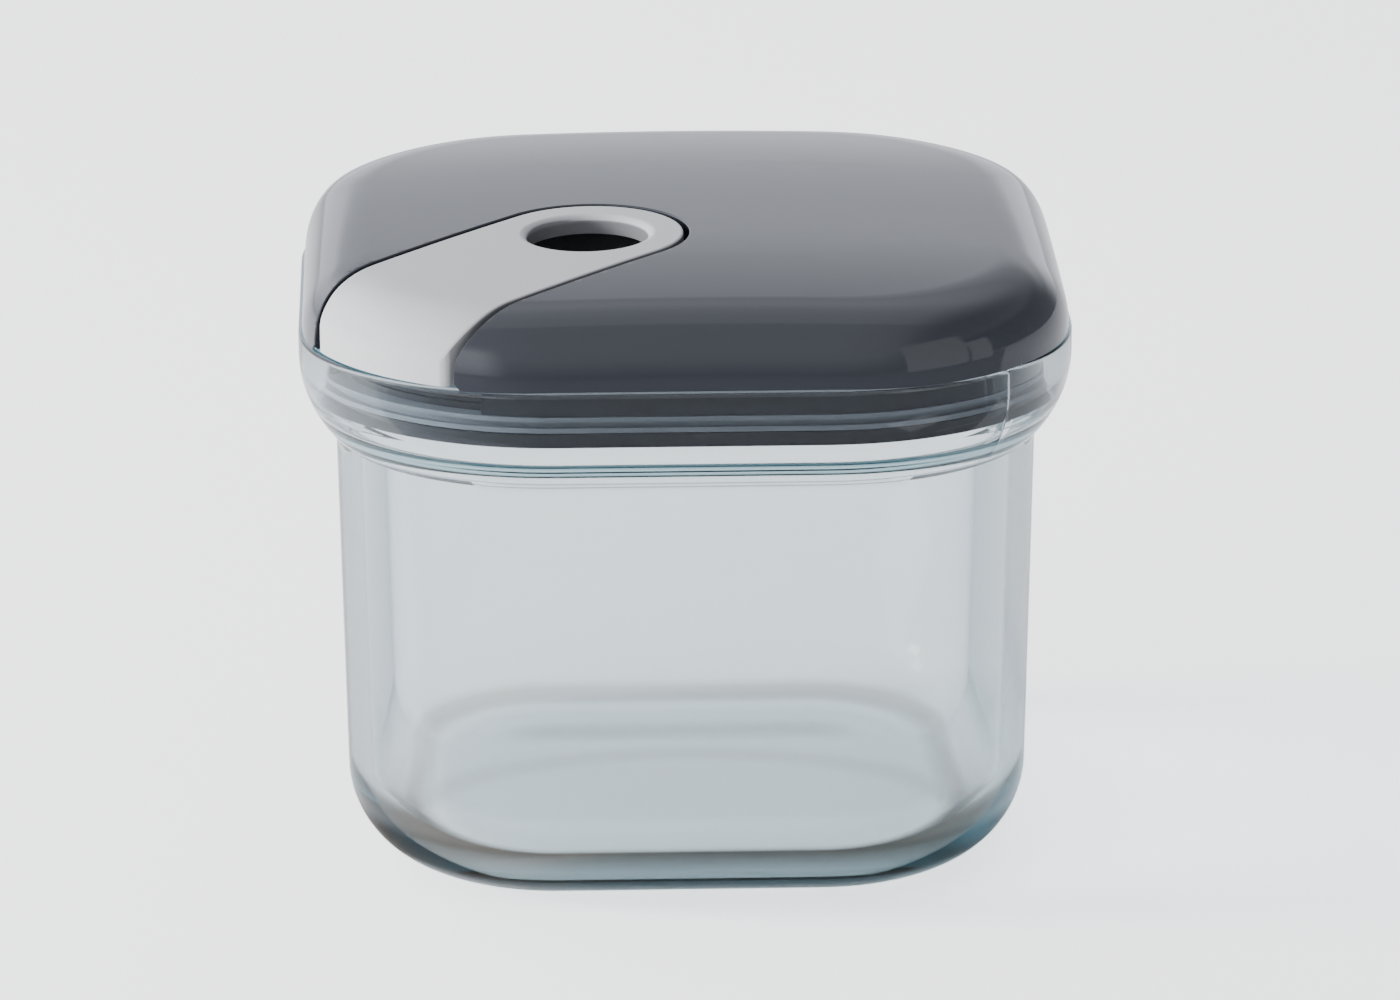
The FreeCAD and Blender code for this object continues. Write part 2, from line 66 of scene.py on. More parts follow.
SHOULDER_SLOPE = 78
SHOULDER_STEPS = 8
FOOT_HALF = NECK_HALF - 1.15 * MM
FOOT_ROUND = 16.0 * MM
FOOT_STEPS = 20
BODY_WALL = 3.5 * MM
GLASS_FLOOR = 5.0 * MM
GLASS_FLOOR_STEPS = 18
FOOT_RING = 4.0 * MM
FOOT_RECESS = 0.3 * MM
FOOT_DISH = 12.0 * MM
DISH_STEPS = 12
CORNER_STEPS = 28
SEAM_HALF = 0.35 * MM
SEAM_LIFT = 0.16 * MM
SEAM_REACH = 4 * MM
SEAM_START = NECK_HEIGHT + 2 * MM
SEAM_END = RIM_TOP - 0.1 * MM
SEAM_ACROSS = (math.sqrt(0.5), math.sqrt(0.5), 0)
GLASS_TINTS = ((0.825, 0.840, 0.847), (0.815, 0.832, 0.840))
GLASS_EDGE = (0.50, 0.63, 0.67)
GLASS_DENSITY = 60.0
GLASS_IOR = 1.5
GLASS_SHADOW = (0.86, 0.89, 0.90)
GLASS_RIPPLE = 45.0
GLASS_RIPPLE_DETAIL = 1.5
GLASS_RIPPLE_BUMP = (0.015, 0.4 * MM)
GLASS_HAZE = 160.0
GLASS_GLOSS = (0.0, 0.012)
GLASS_MIRRORS = 1.5
GLASS_LET_OUT = (0.40, 0.51, 0.54)
# Painted shade in the glass tint, 0.4 to 4.4 mm above the table: a darker band that stands for the shadow the
# rounded foot throws on the table under it.
FOOT_PAINTED_SHADE = ((0.4 * MM, (1, 1, 1)), (1.0 * MM, (0.64, 0.66, 0.66)), (1.8 * MM, (0.52, 0.48, 0.46)),
             (3.0 * MM, (0.56, 0.52, 0.50)), (4.4 * MM, (1, 1, 1)))
GRAIN_SPAN = (0.3, 0.7)


def pick(piece):
    """Select one piece alone and make it the active one."""
    bpy.ops.object.select_all(action="DESELECT")
    piece.select_set(True)
    bpy.context.view_layer.objects.active = piece


def settle():
    """Put the active piece's place, turn and scale into its mesh."""
    bpy.ops.object.transform_apply(location=True, rotation=True, scale=True)


def select(piece, kind, chosen):
    """In edit mode, select only the faces, edges or vertices (FACE, EDGE, VERT) that chosen accepts."""
    bpy.ops.mesh.select_mode(type=kind)
    bpy.ops.mesh.select_all(action="DESELECT")
    mesh = bmesh.from_edit_mesh(piece.data)
    for element in {"FACE": mesh.faces, "EDGE": mesh.edges, "VERT": mesh.verts}[kind]:
        element.select_set(chosen(element))
    mesh.select_flush_mode()
    bmesh.update_edit_mesh(piece.data)


def thicken(height):
    """In edit mode, draw a flat outline up into a closed slab."""
    bpy.ops.mesh.select_all(action="SELECT")
    bpy.ops.mesh.extrude_region_move(TRANSFORM_OT_translate={"value": (0, 0, height)})
    bpy.ops.mesh.select_all(action="SELECT")
    bpy.ops.mesh.normals_make_consistent(inside=False)


def rounded_square_plate(name, half, corner, low, high):
    """A closed plate with the jar's plan outline, left in edit mode."""
    bpy.ops.object.select_all(action="DESELECT")
    bpy.ops.mesh.primitive_plane_add(size=2 * half, location=(0, 0, low))
    piece = bpy.context.object
    piece.name = name
    settle()
    bpy.ops.object.mode_set(mode="EDIT")
    bpy.ops.mesh.select_all(action="SELECT")
    bpy.ops.mesh.bevel(offset=corner, segments=CORNER_STEPS, affect="VERTICES", clamp_overlap=False)
    thicken(high - low)
    return piece


def arc(centre_half, centre_height, radius, start, end, steps):
    """Stations (half width, height) along an arc of the section, from one angle in degrees to another."""
    stations = []
    for index in range(1, steps + 1):
        angle = math.radians(start + (end - start) * index / steps)
        stations.append((centre_half + radius * math.cos(angle), centre_height + radius * math.sin(angle)))
    return stations


def eased(share):
    """A share held between 0 and 1 that starts and ends softly."""
    share = min(max(share, 0), 1)
    return share * share * (3 - 2 * share)


def walk(piece, facing, start, stations):
    """Draw the face at height start[1], facing up (1) or down (-1), in through the stations, ring by ring."""
    half, height = start
    select(piece, "FACE", lambda face: face.normal.z * facing > 0.9
           and abs(face.calc_center_median().z - height) < NEAR)
    for next_half, next_height in stations:
        inward = half - next_half
        rise = next_height - height
        if inward > NEAR / 10:
            bpy.ops.mesh.inset(thickness=inward, depth=rise * facing, use_even_offset=True)
        else:
            bpy.ops.mesh.extrude_region_move(TRANSFORM_OT_translate={"value": (0, 0, rise)})
        half, height = next_half, next_height


def score(piece, chosen, axis, places):
    """Cut the chosen faces along parallel planes, so that they can follow a curve."""
    for place in places:
        select(piece, "FACE", chosen)
        bpy.ops.mesh.bisect(plane_co=Vector(axis) * place, plane_no=axis)


def finish_mesh(piece, smooth_angle=35):
    """Leave edit mode with soft shading up to an angle in degrees, led by the larger faces."""
    bpy.ops.object.mode_set(mode="OBJECT")
    pick(piece)
    bpy.ops.object.shade_smooth_by_angle(angle=math.radians(smooth_angle))
    lead = piece.modifiers.new("lead", "WEIGHTED_NORMAL")
    lead.mode = "FACE_AREA"
    lead.weight = 50
    lead.keep_sharp = True
    bpy.ops.object.modifier_apply(modifier=lead.name)


shoulder_in = RIM_HALF - NECK_HALF
shoulder_down = COLLAR_LOW - NECK_HEIGHT
shoulder_radius = (shoulder_in ** 2 + shoulder_down ** 2) / (2 * shoulder_in)
shoulder_turn = math.degrees(math.asin(shoulder_down / shoulder_radius))
rim_edge = RIM_TOP - RIM_ROUND
mouth_half = RIM_HALF - RIM_WALL
inner_neck = NECK_HALF - BODY_WALL
inner_foot = FOOT_HALF - BODY_WALL
inner_round = FOOT_ROUND - BODY_WALL
foot_core = FOOT_HALF - FOOT_ROUND
dish_edge = foot_core - FOOT_RING
slope = math.radians(SHOULDER_SLOPE)
inner_bend = (mouth_half - inner_neck) / (2 - 2 * math.cos(slope))
neck_low = MOUTH_LOW - 2 * inner_bend * math.sin(slope)

jar = rounded_square_plate("jar_glass", RIM_HALF, RIM_CORNER, COLLAR_LOW, rim_edge)
outside = arc(RIM_HALF - shoulder_radius, COLLAR_LOW, shoulder_radius, 0, -shoulder_turn, COLLAR_STEPS)
outside += [(NECK_HALF - NECK_DRAFT, NECK_HEIGHT - NECK_RUN), (FOOT_HALF, FOOT_ROUND)]
outside += arc(foot_core, FOOT_ROUND, FOOT_ROUND, 0, -90, FOOT_STEPS)
outside += [(dish_edge, 0)]
for step in range(1, DISH_STEPS + 1):
    outside.append((dish_edge - step / DISH_STEPS * FOOT_DISH, FOOT_RECESS * eased(step / DISH_STEPS)))
walk(jar, -1, (RIM_HALF, COLLAR_LOW), outside)
inside = arc(RIM_HALF - RIM_ROUND, rim_edge, RIM_ROUND, 0, 90, RIM_STEPS)
inside += arc(mouth_half + RIM_ROUND, rim_edge, RIM_ROUND, 90, 180, RIM_STEPS)
inside += [(mouth_half, MOUTH_LOW)]
inside += arc(mouth_half - inner_bend, MOUTH_LOW, inner_bend, 0, -SHOULDER_SLOPE, SHOULDER_STEPS)
inside += arc(inner_neck + inner_bend, neck_low, inner_bend, 180 - SHOULDER_SLOPE, 180, SHOULDER_STEPS)
inside += [(inner_neck - NECK_DRAFT, neck_low - NECK_RUN), (inner_foot, GLASS_FLOOR + inner_round)]
inside += arc(foot_core, GLASS_FLOOR + inner_round, inner_round, 0, -90, GLASS_FLOOR_STEPS)
walk(jar, 1, (RIM_HALF, rim_edge), inside)
select(jar, "EDGE", lambda edge: all(abs(v.co.z - NECK_HEIGHT) < NEAR for v in edge.verts)
       and max(abs(c) for v in edge.verts for c in v.co.xy) > inner_neck + BODY_WALL / 2)
bpy.ops.mesh.bevel(offset=NECK_FILLET, segments=NECK_STEPS, affect="EDGES")


def on_seam(face):
    """Whether a face lies outside on the collar, where the halves of the mould met."""
    middle = face.calc_center_median()
    return (abs(middle.x + middle.y) < SEAM_REACH and middle.z > SEAM_START
            and face.normal.x * middle.x + face.normal.y * middle.y > 0)


score(jar, on_seam, SEAM_ACROSS, (-SEAM_HALF, SEAM_HALF))
seam_mesh = bmesh.from_edit_mesh(jar.data)
ridge = {vertex for face in seam_mesh.faces if on_seam(face) for vertex in face.verts
         if abs(vertex.co.x + vertex.co.y) < NEAR and vertex.co.z < SEAM_END}
for vertex in ridge:
    outward = Vector((vertex.co.x, vertex.co.y, 0)).normalized()
    vertex.co += outward * SEAM_LIFT
bmesh.update_edit_mesh(jar.data)
finish_mesh(jar)
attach(jar, "jar")
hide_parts("glass_jar")


def new_material(name):
    """A node material with one Principled shader; returns the material, its nodes, links and shader."""
    material = bpy.data.materials.new(name)
    material.use_nodes = True
    nodes = material.node_tree.nodes
    return material, nodes, material.node_tree.links, nodes["Principled BSDF"]


def paint(piece, material):
    """Give a piece this material alone."""
    piece.data.materials.clear()
    piece.data.materials.append(material)


def feed(links, socket, term):
    """Give a node's input a link from another node, or a plain value."""
    if isinstance(term, bpy.types.NodeSocket):
        links.new(term, socket)
    elif socket.type == "RGBA":
        socket.default_value = (*term, 1)
    else:
        socket.default_value = term


def calculate(nodes, links, operation, *terms):
    """A Math node on links or plain values."""
    node = nodes.new("ShaderNodeMath")
    node.operation = operation
    for socket, term in zip(node.inputs, terms):
        feed(links, socket, term)
    return node.outputs["Value"]


def spread(nodes, links, value, start, end, low=0.0, high=1.0, kind="LINEAR"):
    """Carry a value that runs from start to end over to low to high, and hold it there."""
    node = nodes.new("ShaderNodeMapRange")
    node.interpolation_type = kind
    for name, term in (("Value", value), ("From Min", start), ("From Max", end),
                       ("To Min", low), ("To Max", high)):
        feed(links, node.inputs[name], term)
    return node.outputs["Result"]


def blend(nodes, links, share, first, second, way="MIX"):
    """A colour that passes from a first tone to a second one."""
    node = nodes.new("ShaderNodeMix")
    node.data_type = "RGBA"
    node.blend_type = way
    for name, term in (("Factor", share), ("A", first), ("B", second)):
        feed(links, node.inputs[name], term)
    return node.outputs["Result"]


def grade(nodes, links, value, stops):
    """A colour that follows a value through stops, each a place from 0 to 1 and a tone."""
    band = nodes.new("ShaderNodeValToRGB")
    marks = band.color_ramp.elements
    while len(marks) < len(stops):
        marks.new(0.5)
    for mark, (place, tone) in zip(marks, stops):
        mark.position = place
        mark.color = (*tone, 1)
    links.new(value, band.inputs["Fac"])
    return band.outputs["Color"]


def bump(nodes, links, shader, height, strength, distance):
    """Raise a surface by a height texture."""
    lift = nodes.new("ShaderNodeBump")
    lift.inputs["Strength"].default_value = strength
    lift.inputs["Distance"].default_value = distance
    links.new(height, lift.inputs["Height"])
    links.new(lift.outputs["Normal"], shader.inputs["Normal"])


def see_through(nodes, tint):
    """A shader that lets light pass straight on, tinted."""
    clear = nodes.new("ShaderNodeBsdfTransparent")
    clear.inputs["Color"].default_value = (*tint, 1)
    return clear.outputs["BSDF"]


def choose(nodes, links, share, first, second):
    """A shader that is the first at a share of 0 and the second at 1."""
    mix = nodes.new("ShaderNodeMixShader")
    for socket, term in zip(mix.inputs, (share, first, second)):
        links.new(term, socket)
    return mix.outputs["Shader"]


def build_grain_group():
    """The grain that the mould leaves: tone, roughness and height that drift together over a surface."""
    group = bpy.data.node_groups.new("moulded_grain", "ShaderNodeTree")
    for name, kind in (("Scale", "Float"), ("Detail", "Float"), ("Stretch", "Vector"),
                       ("First Tone", "Color"), ("Second Tone", "Color"),
                       ("Smooth", "Float"), ("Rough", "Float")):
        group.interface.new_socket(name, in_out="INPUT", socket_type="NodeSocket" + kind)
    for name, kind in (("Tone", "Color"), ("Roughness", "Float"), ("Height", "Float")):
        group.interface.new_socket(name, in_out="OUTPUT", socket_type="NodeSocket" + kind)
    nodes, links = group.nodes, group.links
    asked = nodes.new("NodeGroupInput").outputs
    given = nodes.new("NodeGroupOutput").inputs
    place = nodes.new("ShaderNodeTexCoord")
    turn = nodes.new("ShaderNodeMapping")
    texture = nodes.new("ShaderNodeTexNoise")
    links.new(place.outputs["Object"], turn.inputs["Vector"])
    links.new(asked["Stretch"], turn.inputs["Scale"])
    links.new(turn.outputs["Vector"], texture.inputs["Vector"])
    links.new(asked["Scale"], texture.inputs["Scale"])
    links.new(asked["Detail"], texture.inputs["Detail"])
    drift = texture.outputs["Fac"]
    links.new(blend(nodes, links, drift, asked["First Tone"], asked["Second Tone"]), given["Tone"])
    links.new(spread(nodes, links, drift, *GRAIN_SPAN, asked["Smooth"], asked["Rough"]), given["Roughness"])
    links.new(drift, given["Height"])
    return group


grain_group = build_grain_group()


def grain(nodes, scale, tones=None, gloss=None, detail=3.0, stretch=(1, 1, 1)):
    """Place the shared grain in a material with its own values; scale is cycles per metre."""
    node = nodes.new("ShaderNodeGroup")
    node.node_tree = grain_group
    node.inputs["Scale"].default_value = scale
    node.inputs["Detail"].default_value = detail
    node.inputs["Stretch"].default_value = stretch
    if tones:
        node.inputs["First Tone"].default_value = (*tones[0], 1)
        node.inputs["Second Tone"].default_value = (*tones[1], 1)
    if gloss:
        node.inputs["Smooth"].default_value, node.inputs["Rough"].default_value = gloss
    return node.outputs


glass, nodes, links, shader = new_material("clear_pressed_glass")
shader.inputs["Transmission Weight"].default_value = 1.0
shader.inputs["IOR"].default_value = GLASS_IOR
ripple = grain(nodes, GLASS_RIPPLE, GLASS_TINTS, detail=GLASS_RIPPLE_DETAIL)
level = nodes.new("ShaderNodeSeparateXYZ")
links.new(nodes.new("ShaderNodeTexCoord").outputs["Object"], level.inputs["Vector"])
share_up = spread(nodes, links, level.outputs["Z"], 0.0, FOOT_ROUND)
# The glass tint is darkened near the foot by the band of painted shade.
foot_painted_shade = grade(nodes, links, share_up, [(height / FOOT_ROUND, tone) for height, tone in FOOT_PAINTED_SHADE])
links.new(blend(nodes, links, 1.0, ripple["Tone"], foot_painted_shade, "MULTIPLY"), shader.inputs["Base Color"])
links.new(grain(nodes, GLASS_HAZE, gloss=GLASS_GLOSS)["Roughness"], shader.inputs["Roughness"])
bump(nodes, links, shader, ripple["Height"], *GLASS_RIPPLE_BUMP)
absorb = nodes.new("ShaderNodeVolumeAbsorption")
absorb.inputs["Color"].default_value = (*GLASS_EDGE, 1)
absorb.inputs["Density"].default_value = GLASS_DENSITY
links.new(absorb.outputs["Volume"], nodes["Material Output"].inputs["Volume"])
# Light passes straight through for shadows, and light that the wall mirrors over and over is let out, tinted.
path = nodes.new("ShaderNodeLightPath").outputs
clear_shadow = see_through(nodes, GLASS_SHADOW)
through = choose(nodes, links, path["Is Shadow Ray"], shader.outputs["BSDF"], clear_shadow)
trapped = calculate(nodes, links, "GREATER_THAN", path["Glossy Depth"], GLASS_MIRRORS)
released = choose(nodes, links, trapped, through, see_through(nodes, GLASS_LET_OUT))
links.new(released, nodes["Material Output"].inputs["Surface"])
paint(jar, glass)

# The lid base: a satin slate plate under the lid, with a flange that carries the seal and an upstand that
# snaps into the skirt. Injection moulded; its edge shows through the collar of the jar.
BASE_TONES = ((0.016, 0.018, 0.023), (0.020, 0.022, 0.028))
BASE_GLOSS = (0.34, 0.46)
BASE_GRAIN = 900.0
BASE_BUMP = (0.15, 0.05 * MM)


def moulded_finish(name, scale, tones, gloss, lift):
    """A finish with the shared grain in its colour, its gloss and its surface."""
    material, nodes, links, shader = new_material(name)
    drift = grain(nodes, scale, tones, gloss)
    links.new(drift["Tone"], shader.inputs["Base Color"])
    links.new(drift["Roughness"], shader.inputs["Roughness"])
    bump(nodes, links, shader, drift["Height"], *lift)
    return material


satin_slate = moulded_finish("satin_slate", BASE_GRAIN, BASE_TONES, BASE_GLOSS, BASE_BUMP)
paint(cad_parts["lid_base"], satin_slate)

# The seal: a soft ring with two lips that press on the inside of the glass. It is moulded in grey silicone
# and stretched into the groove between the skirt and the flange of the lid base.
SEAL_TONES = ((0.150, 0.165, 0.190), (0.170, 0.185, 0.210))
SEAL_GLOSS = (0.5, 0.65)
SEAL_GRAIN = 300.0
SEAL_BUMP = (0.1, 0.05 * MM)
grey_silicone = moulded_finish("grey_silicone", SEAL_GRAIN, SEAL_TONES, SEAL_GLOSS, SEAL_BUMP)
paint(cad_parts["lid_gasket"], grey_silicone)

# The tray: a tub under the lever that keeps the inside of the lid dry, with ears that grip the hinge pin. It
# is a dark matt moulding, screwed up against the bosses of the cover, and shows through the finger opening.
TRAY_TONES = ((0.045, 0.045, 0.052), (0.060, 0.060, 0.066))
TRAY_GLOSS = (0.5, 0.65)
TRAY_GRAIN = 1100.0
TRAY_BUMP = (0.2, 0.05 * MM)
dark_matt = moulded_finish("dark_matt", TRAY_GRAIN, TRAY_TONES, TRAY_GLOSS, TRAY_BUMP)
paint(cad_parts["lever_tray"], dark_matt)

# The screws and the hinge pin: plain stainless steel. The screws are turned and hold the tray to the bosses;
# the pin is drawn wire, gripped in the tray's ears. The noise is drawn out into fine lines on both.
STEEL_TONES = ((0.56, 0.56, 0.57), (0.66, 0.66, 0.66))
STEEL_GLOSS = (0.22, 0.36)
STEEL_LINES = 700.0
for node, stretch in (("tray_screws", (1, 1, 12)), ("hinge_pin", (12, 12, 1))):
    steel, nodes, links, shader = new_material(node + "_steel")
    lines = grain(nodes, STEEL_LINES, STEEL_TONES, STEEL_GLOSS, stretch=stretch)
    shader.inputs["Metallic"].default_value = 1.0
    links.new(lines["Tone"], shader.inputs["Base Color"])
    links.new(lines["Roughness"], shader.inputs["Roughness"])
    paint(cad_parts[node], steel)

# The cover: one high gloss slate moulding, domed, with an edge rolled over all round. A ledge lies above the
# rim of the glass, a skirt hangs inside the mouth, and a slot with a softened lip is cut out for the lever.
LID_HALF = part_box("lid_cover")[1].x
LID_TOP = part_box("lid_cover")[1].z
LID_CORNER = RIM_CORNER - (RIM_HALF - LID_HALF)
LID_UNDER = RIM_TOP + 0.3 * MM
SKIRT_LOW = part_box("lid_cover")[0].z
SKIRT_HALF = mouth_half - 0.5 * MM
SKIRT_INNER = SKIRT_HALF - 2.2 * MM
SHELL_INSIDE = ((SKIRT_INNER, LID_TOP - 6.0 * MM), (50 * MM, LID_TOP - 4.5 * MM),
                (44 * MM, LID_TOP - 3.9 * MM))
SIDE_CUTS = 9
CROWN_ROLL = 10.9 * MM
CROWN_STEPS = 26
CROWN_RADIUS = 900 * MM
TOP_PITCH = 4 * MM
TOP_RINGS = 5
TOP_CUTS = 7
ROLL_POWER = 2.2
CORNER_POWER = 0.4
CORNER_FULL = 0.6 * MM
CORNER_SPAN = 0.85
CORNER_CENTRE = LID_HALF - LID_CORNER
SLOT_RING = 21.2 * MM
SLOT_HALF = 15.8 * MM
SLOT_LIP = 0.28 * MM
SLOT_STEPS = 48
LIP_START = 95
LIP_STEPS = 4
SLOT_ABOVE = 0.02 * MM
SLOT_PITCH = 0.7 * MM
SLOT_CUTS = 73
LEVER_TURN = math.radians(225)
SLOT_TURN = math.radians(2.6)
TURN_START = 2.2 * MM
TURN_END = 9.8 * MM
TURN_MIDDLE = 45
TURN_INNER_FADE = 20
TURN_OUTER_FADE = 18
COVER_TONES = ((0.0200, 0.0222, 0.0282), (0.0225, 0.0248, 0.0312))
COVER_GLOSS = (0.05, 0.10)
COVER_DRIFT = 30.0
COVER_HAZE = 220.0
COVER_IOR = 1.5


def dome_drop(x, y):
    """How far the dome falls from its middle."""
    return (x * x + y * y) / (2 * CROWN_RADIUS)


def past_centre(x, y):
    """How far a point in plan lies past a corner's centre, across and along."""
    return max(abs(x) - CORNER_CENTRE, 0), max(abs(y) - CORNER_CENTRE, 0)


def from_edge(x, y):
    """The distance of a point in plan from the lid's outline."""
    return LID_CORNER - math.hypot(*past_centre(x, y))


def roll_share(x, y):
    """0 where the edge starts to roll over, 1 at the lid's outline."""
    return max(CROWN_ROLL - max(from_edge(x, y), 0), 0) / CROWN_ROLL


def cornerness(x, y):
    """0 along a side of the lid, 1 in the middle of a corner."""
    wide, deep = past_centre(x, y)
    return eased(2 * wide * deep / max(wide * wide + deep * deep, NEAR ** 2) / CORNER_SPAN)


def crown_height(x, y):
    """The height of the lid's top surface, dome and rolled edge together; the roll is fuller at a corner."""
    power = ROLL_POWER + CORNER_POWER * cornerness(x, y)
    rolled = CROWN_ROLL * (1 - (1 - roll_share(x, y) ** power) ** (1 / power))
    return LID_TOP - dome_drop(x, y) - rolled


def corner_push(x, y):
    """A point in plan, pushed out a little where the roll of a corner is fuller."""
    wide, deep = past_centre(x, y)
    reach = max(math.hypot(wide, deep), NEAR)
    push = CORNER_FULL * cornerness(x, y) * roll_share(x, y) ** 2
    return x + math.copysign(push * wide / reach, x), y + math.copysign(push * deep / reach, y)


def toe_turn(x, y, most):
    """A point in plan, turned about the corner's centre where the slot closes in on the front of the toe."""
    wide, deep = -x - CORNER_CENTRE, -y - CORNER_CENTRE
    if wide <= 0 or deep <= 0:
        return x, y
    angle = math.atan2(deep, wide)
    beside = math.degrees(angle) - TURN_MIDDLE
    fall = LID_TOP - crown_height(x, y)
    down = eased((fall - TURN_START) / (TURN_END - TURN_START))
    angle -= most * down * eased(beside / TURN_INNER_FADE) * eased((TURN_MIDDLE - beside) / TURN_OUTER_FADE)
    reach = math.hypot(wide, deep)
    return -CORNER_CENTRE - reach * math.cos(angle), -CORNER_CENTRE - reach * math.sin(angle)


def move_vertices(piece, moved):
    """In edit mode, give each vertex the place that moved returns for it."""
    mesh = bmesh.from_edit_mesh(piece.data)
    for vertex in mesh.verts:
        vertex.co = moved(vertex.co)
    bmesh.update_edit_mesh(piece.data)


def combine(piece, tool, operation):
    """Cut a tool out of a piece or weld it on, and use the tool up."""
    change = piece.modifiers.new(operation.lower(), "BOOLEAN")
    change.operation = operation
    change.solver = "EXACT"
    change.object = tool
    pick(piece)
    bpy.ops.object.modifier_apply(modifier=change.name)
    bpy.data.objects.remove(tool)


def tongue(name, ring, half, reach, low, high, ring_steps):
    """The lever's plan as a closed slab along +X, left in edit mode: a round end, straight sides, a toe."""
    bpy.ops.object.select_all(action="DESELECT")
    bpy.ops.mesh.primitive_plane_add(size=1, location=((ring - half + reach) / 2, 0, low))
    piece = bpy.context.object
    piece.name = name
    piece.scale = (reach - ring + half, 2 * half, 1)
    settle()
    bpy.ops.object.mode_set(mode="EDIT")
    select(piece, "VERT", lambda vertex: vertex.co.x < ring)
    bpy.ops.mesh.bevel(offset=half * 0.99999, segments=ring_steps, affect="VERTICES", clamp_overlap=False)
    bpy.ops.mesh.select_all(action="SELECT")
    bpy.ops.mesh.remove_doubles(threshold=2 * NEAR)
    thicken(high - low)
    return piece


def turn_to_corner(piece):
    """Turn a piece made along +X to lie along the lever's corner of the lid."""
    bpy.ops.object.mode_set(mode="OBJECT")
    piece.rotation_euler = (0, 0, LEVER_TURN)
    pick(piece)
    settle()


def bend_to_crown(place):
    """Bend the flat top of the cover, with the slot's lip in it, to the dome and the rolled edge."""
    if place.z <= LID_TOP - SLOT_LIP - NEAR:
        return place
    return Vector((*corner_push(place.x, place.y), place.z - LID_TOP + crown_height(place.x, place.y)))


cover = rounded_square_plate("lid_cover_gloss", LID_HALF, LID_CORNER, LID_UNDER, LID_TOP)
select(cover, "EDGE", lambda edge: edge.calc_length() > CORNER_CENTRE)
bpy.ops.mesh.subdivide(number_cuts=SIDE_CUTS)
flat_ring = LID_HALF - CROWN_ROLL
inner_ring = flat_ring - TOP_RINGS * TOP_PITCH
rings = [(half, LID_TOP) for half, height in arc(flat_ring, 0, CROWN_ROLL, 0, 90, CROWN_STEPS)]
rings += [(flat_ring - step * TOP_PITCH, LID_TOP) for step in range(1, TOP_RINGS + 1)]
walk(cover, 1, (LID_HALF, LID_TOP), rings)
for axis in ((1, 0, 0), (0, 1, 0)):
    score(cover, lambda face: face.normal.z > 0.9
          and max(max(abs(v.co.x), abs(v.co.y)) for v in face.verts) < inner_ring + 0.1 * MM,
          axis, [(step + 0.5) * TOP_PITCH for step in range(-TOP_CUTS, TOP_CUTS)])
hollow = [(SKIRT_HALF, LID_UNDER), (SKIRT_HALF, SKIRT_LOW), (SKIRT_INNER, SKIRT_LOW), *SHELL_INSIDE]
walk(cover, -1, (LID_HALF, LID_UNDER), hollow)
bpy.ops.object.mode_set(mode="OBJECT")
lip_half = SLOT_HALF + SLOT_LIP
tool_low = LID_TOP + SLOT_ABOVE
slot_tool = tongue("slot_tool", SLOT_RING, lip_half, 2 * RIM_HALF, tool_low, 1.2 * LID_TOP, SLOT_STEPS)
lip = arc(lip_half, LID_TOP - SLOT_LIP, SLOT_LIP, LIP_START, 180, LIP_STEPS)
walk(slot_tool, -1, (lip_half, tool_low), lip + [(SLOT_HALF, 0.8 * SKIRT_LOW)])
slot_cuts = [SLOT_RING + step * SLOT_PITCH for step in range(1, SLOT_CUTS + 1)]
score(slot_tool, lambda face: True, (1, 0, 0), slot_cuts)
turn_to_corner(slot_tool)
combine(cover, slot_tool, "DIFFERENCE")
bpy.ops.object.mode_set(mode="EDIT")
move_vertices(cover, lambda place: Vector((*toe_turn(place.x, place.y, SLOT_TURN), place.z)))
move_vertices(cover, bend_to_crown)
finish_mesh(cover)
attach(cover, "lid")
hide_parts("lid_cover")
gloss, nodes, links, shader = new_material("gloss_slate")
links.new(grain(nodes, COVER_DRIFT, COVER_TONES)["Tone"], shader.inputs["Base Color"])
links.new(grain(nodes, COVER_HAZE, gloss=COVER_GLOSS)["Roughness"], shader.inputs["Roughness"])
shader.inputs["IOR"].default_value = COVER_IOR
paint(cover, gloss)

# The lever: a pale satin moulding, 3 mm thick, that fills the slot and goes on with the dome and the rolled
# edge. It has a round opening for one finger, and two ribs below that hold it on the hinge pin.
LEVER_RING = 21.2 * MM
LEVER_HALF = 14.9 * MM
LEVER_STEPS = 64
LEVER_SKIN = 3.0 * MM
LEVER_EDGE = 0.4 * MM
EDGE_STEPS = 5
LEVER_CUTS = ((6.93 * MM, 1.2 * MM, 44), (59.73 * MM, 0.4 * MM, 20))
ACROSS_PITCH = 3.47 * MM
ACROSS_CUTS = 4
TOE_RADIUS = LID_CORNER - 0.4 * MM
TOE_CORNER = 0.6 * MM
TOE_STEPS = 4
TOE_TURN = math.radians(4.2)
TOE_CUTS = 23
HOLE_RADIUS = 9.4 * MM
HOLE_SIDES = 96
HOLE_ROUND = 1.3 * MM
HOLE_STEPS = 8
PIN_ALONG = 57.0 * MM
PIN_HEIGHT = 91.5 * MM
PIN_BORE = 1.55 * MM
PIN_SIDES = 48
KNUCKLE = 3 * MM
RIB_INNER = 10.8 * MM
RIB_OUTER = 13.8 * MM
RIB_START = 34 * MM
RIB_END = 60 * MM
RIB_LOW = LID_TOP - 6.5 * MM
RIB_TOP = LID_TOP - 3.9 * MM
RIB_LAP = 1 * MM
LEVER_TONES = ((0.41, 0.41, 0.415), (0.45, 0.45, 0.455))
LEVER_GLOSS = (0.38, 0.5)
LEVER_GRAIN = 1400.0
LEVER_BUMP = (0.2, 0.04 * MM)
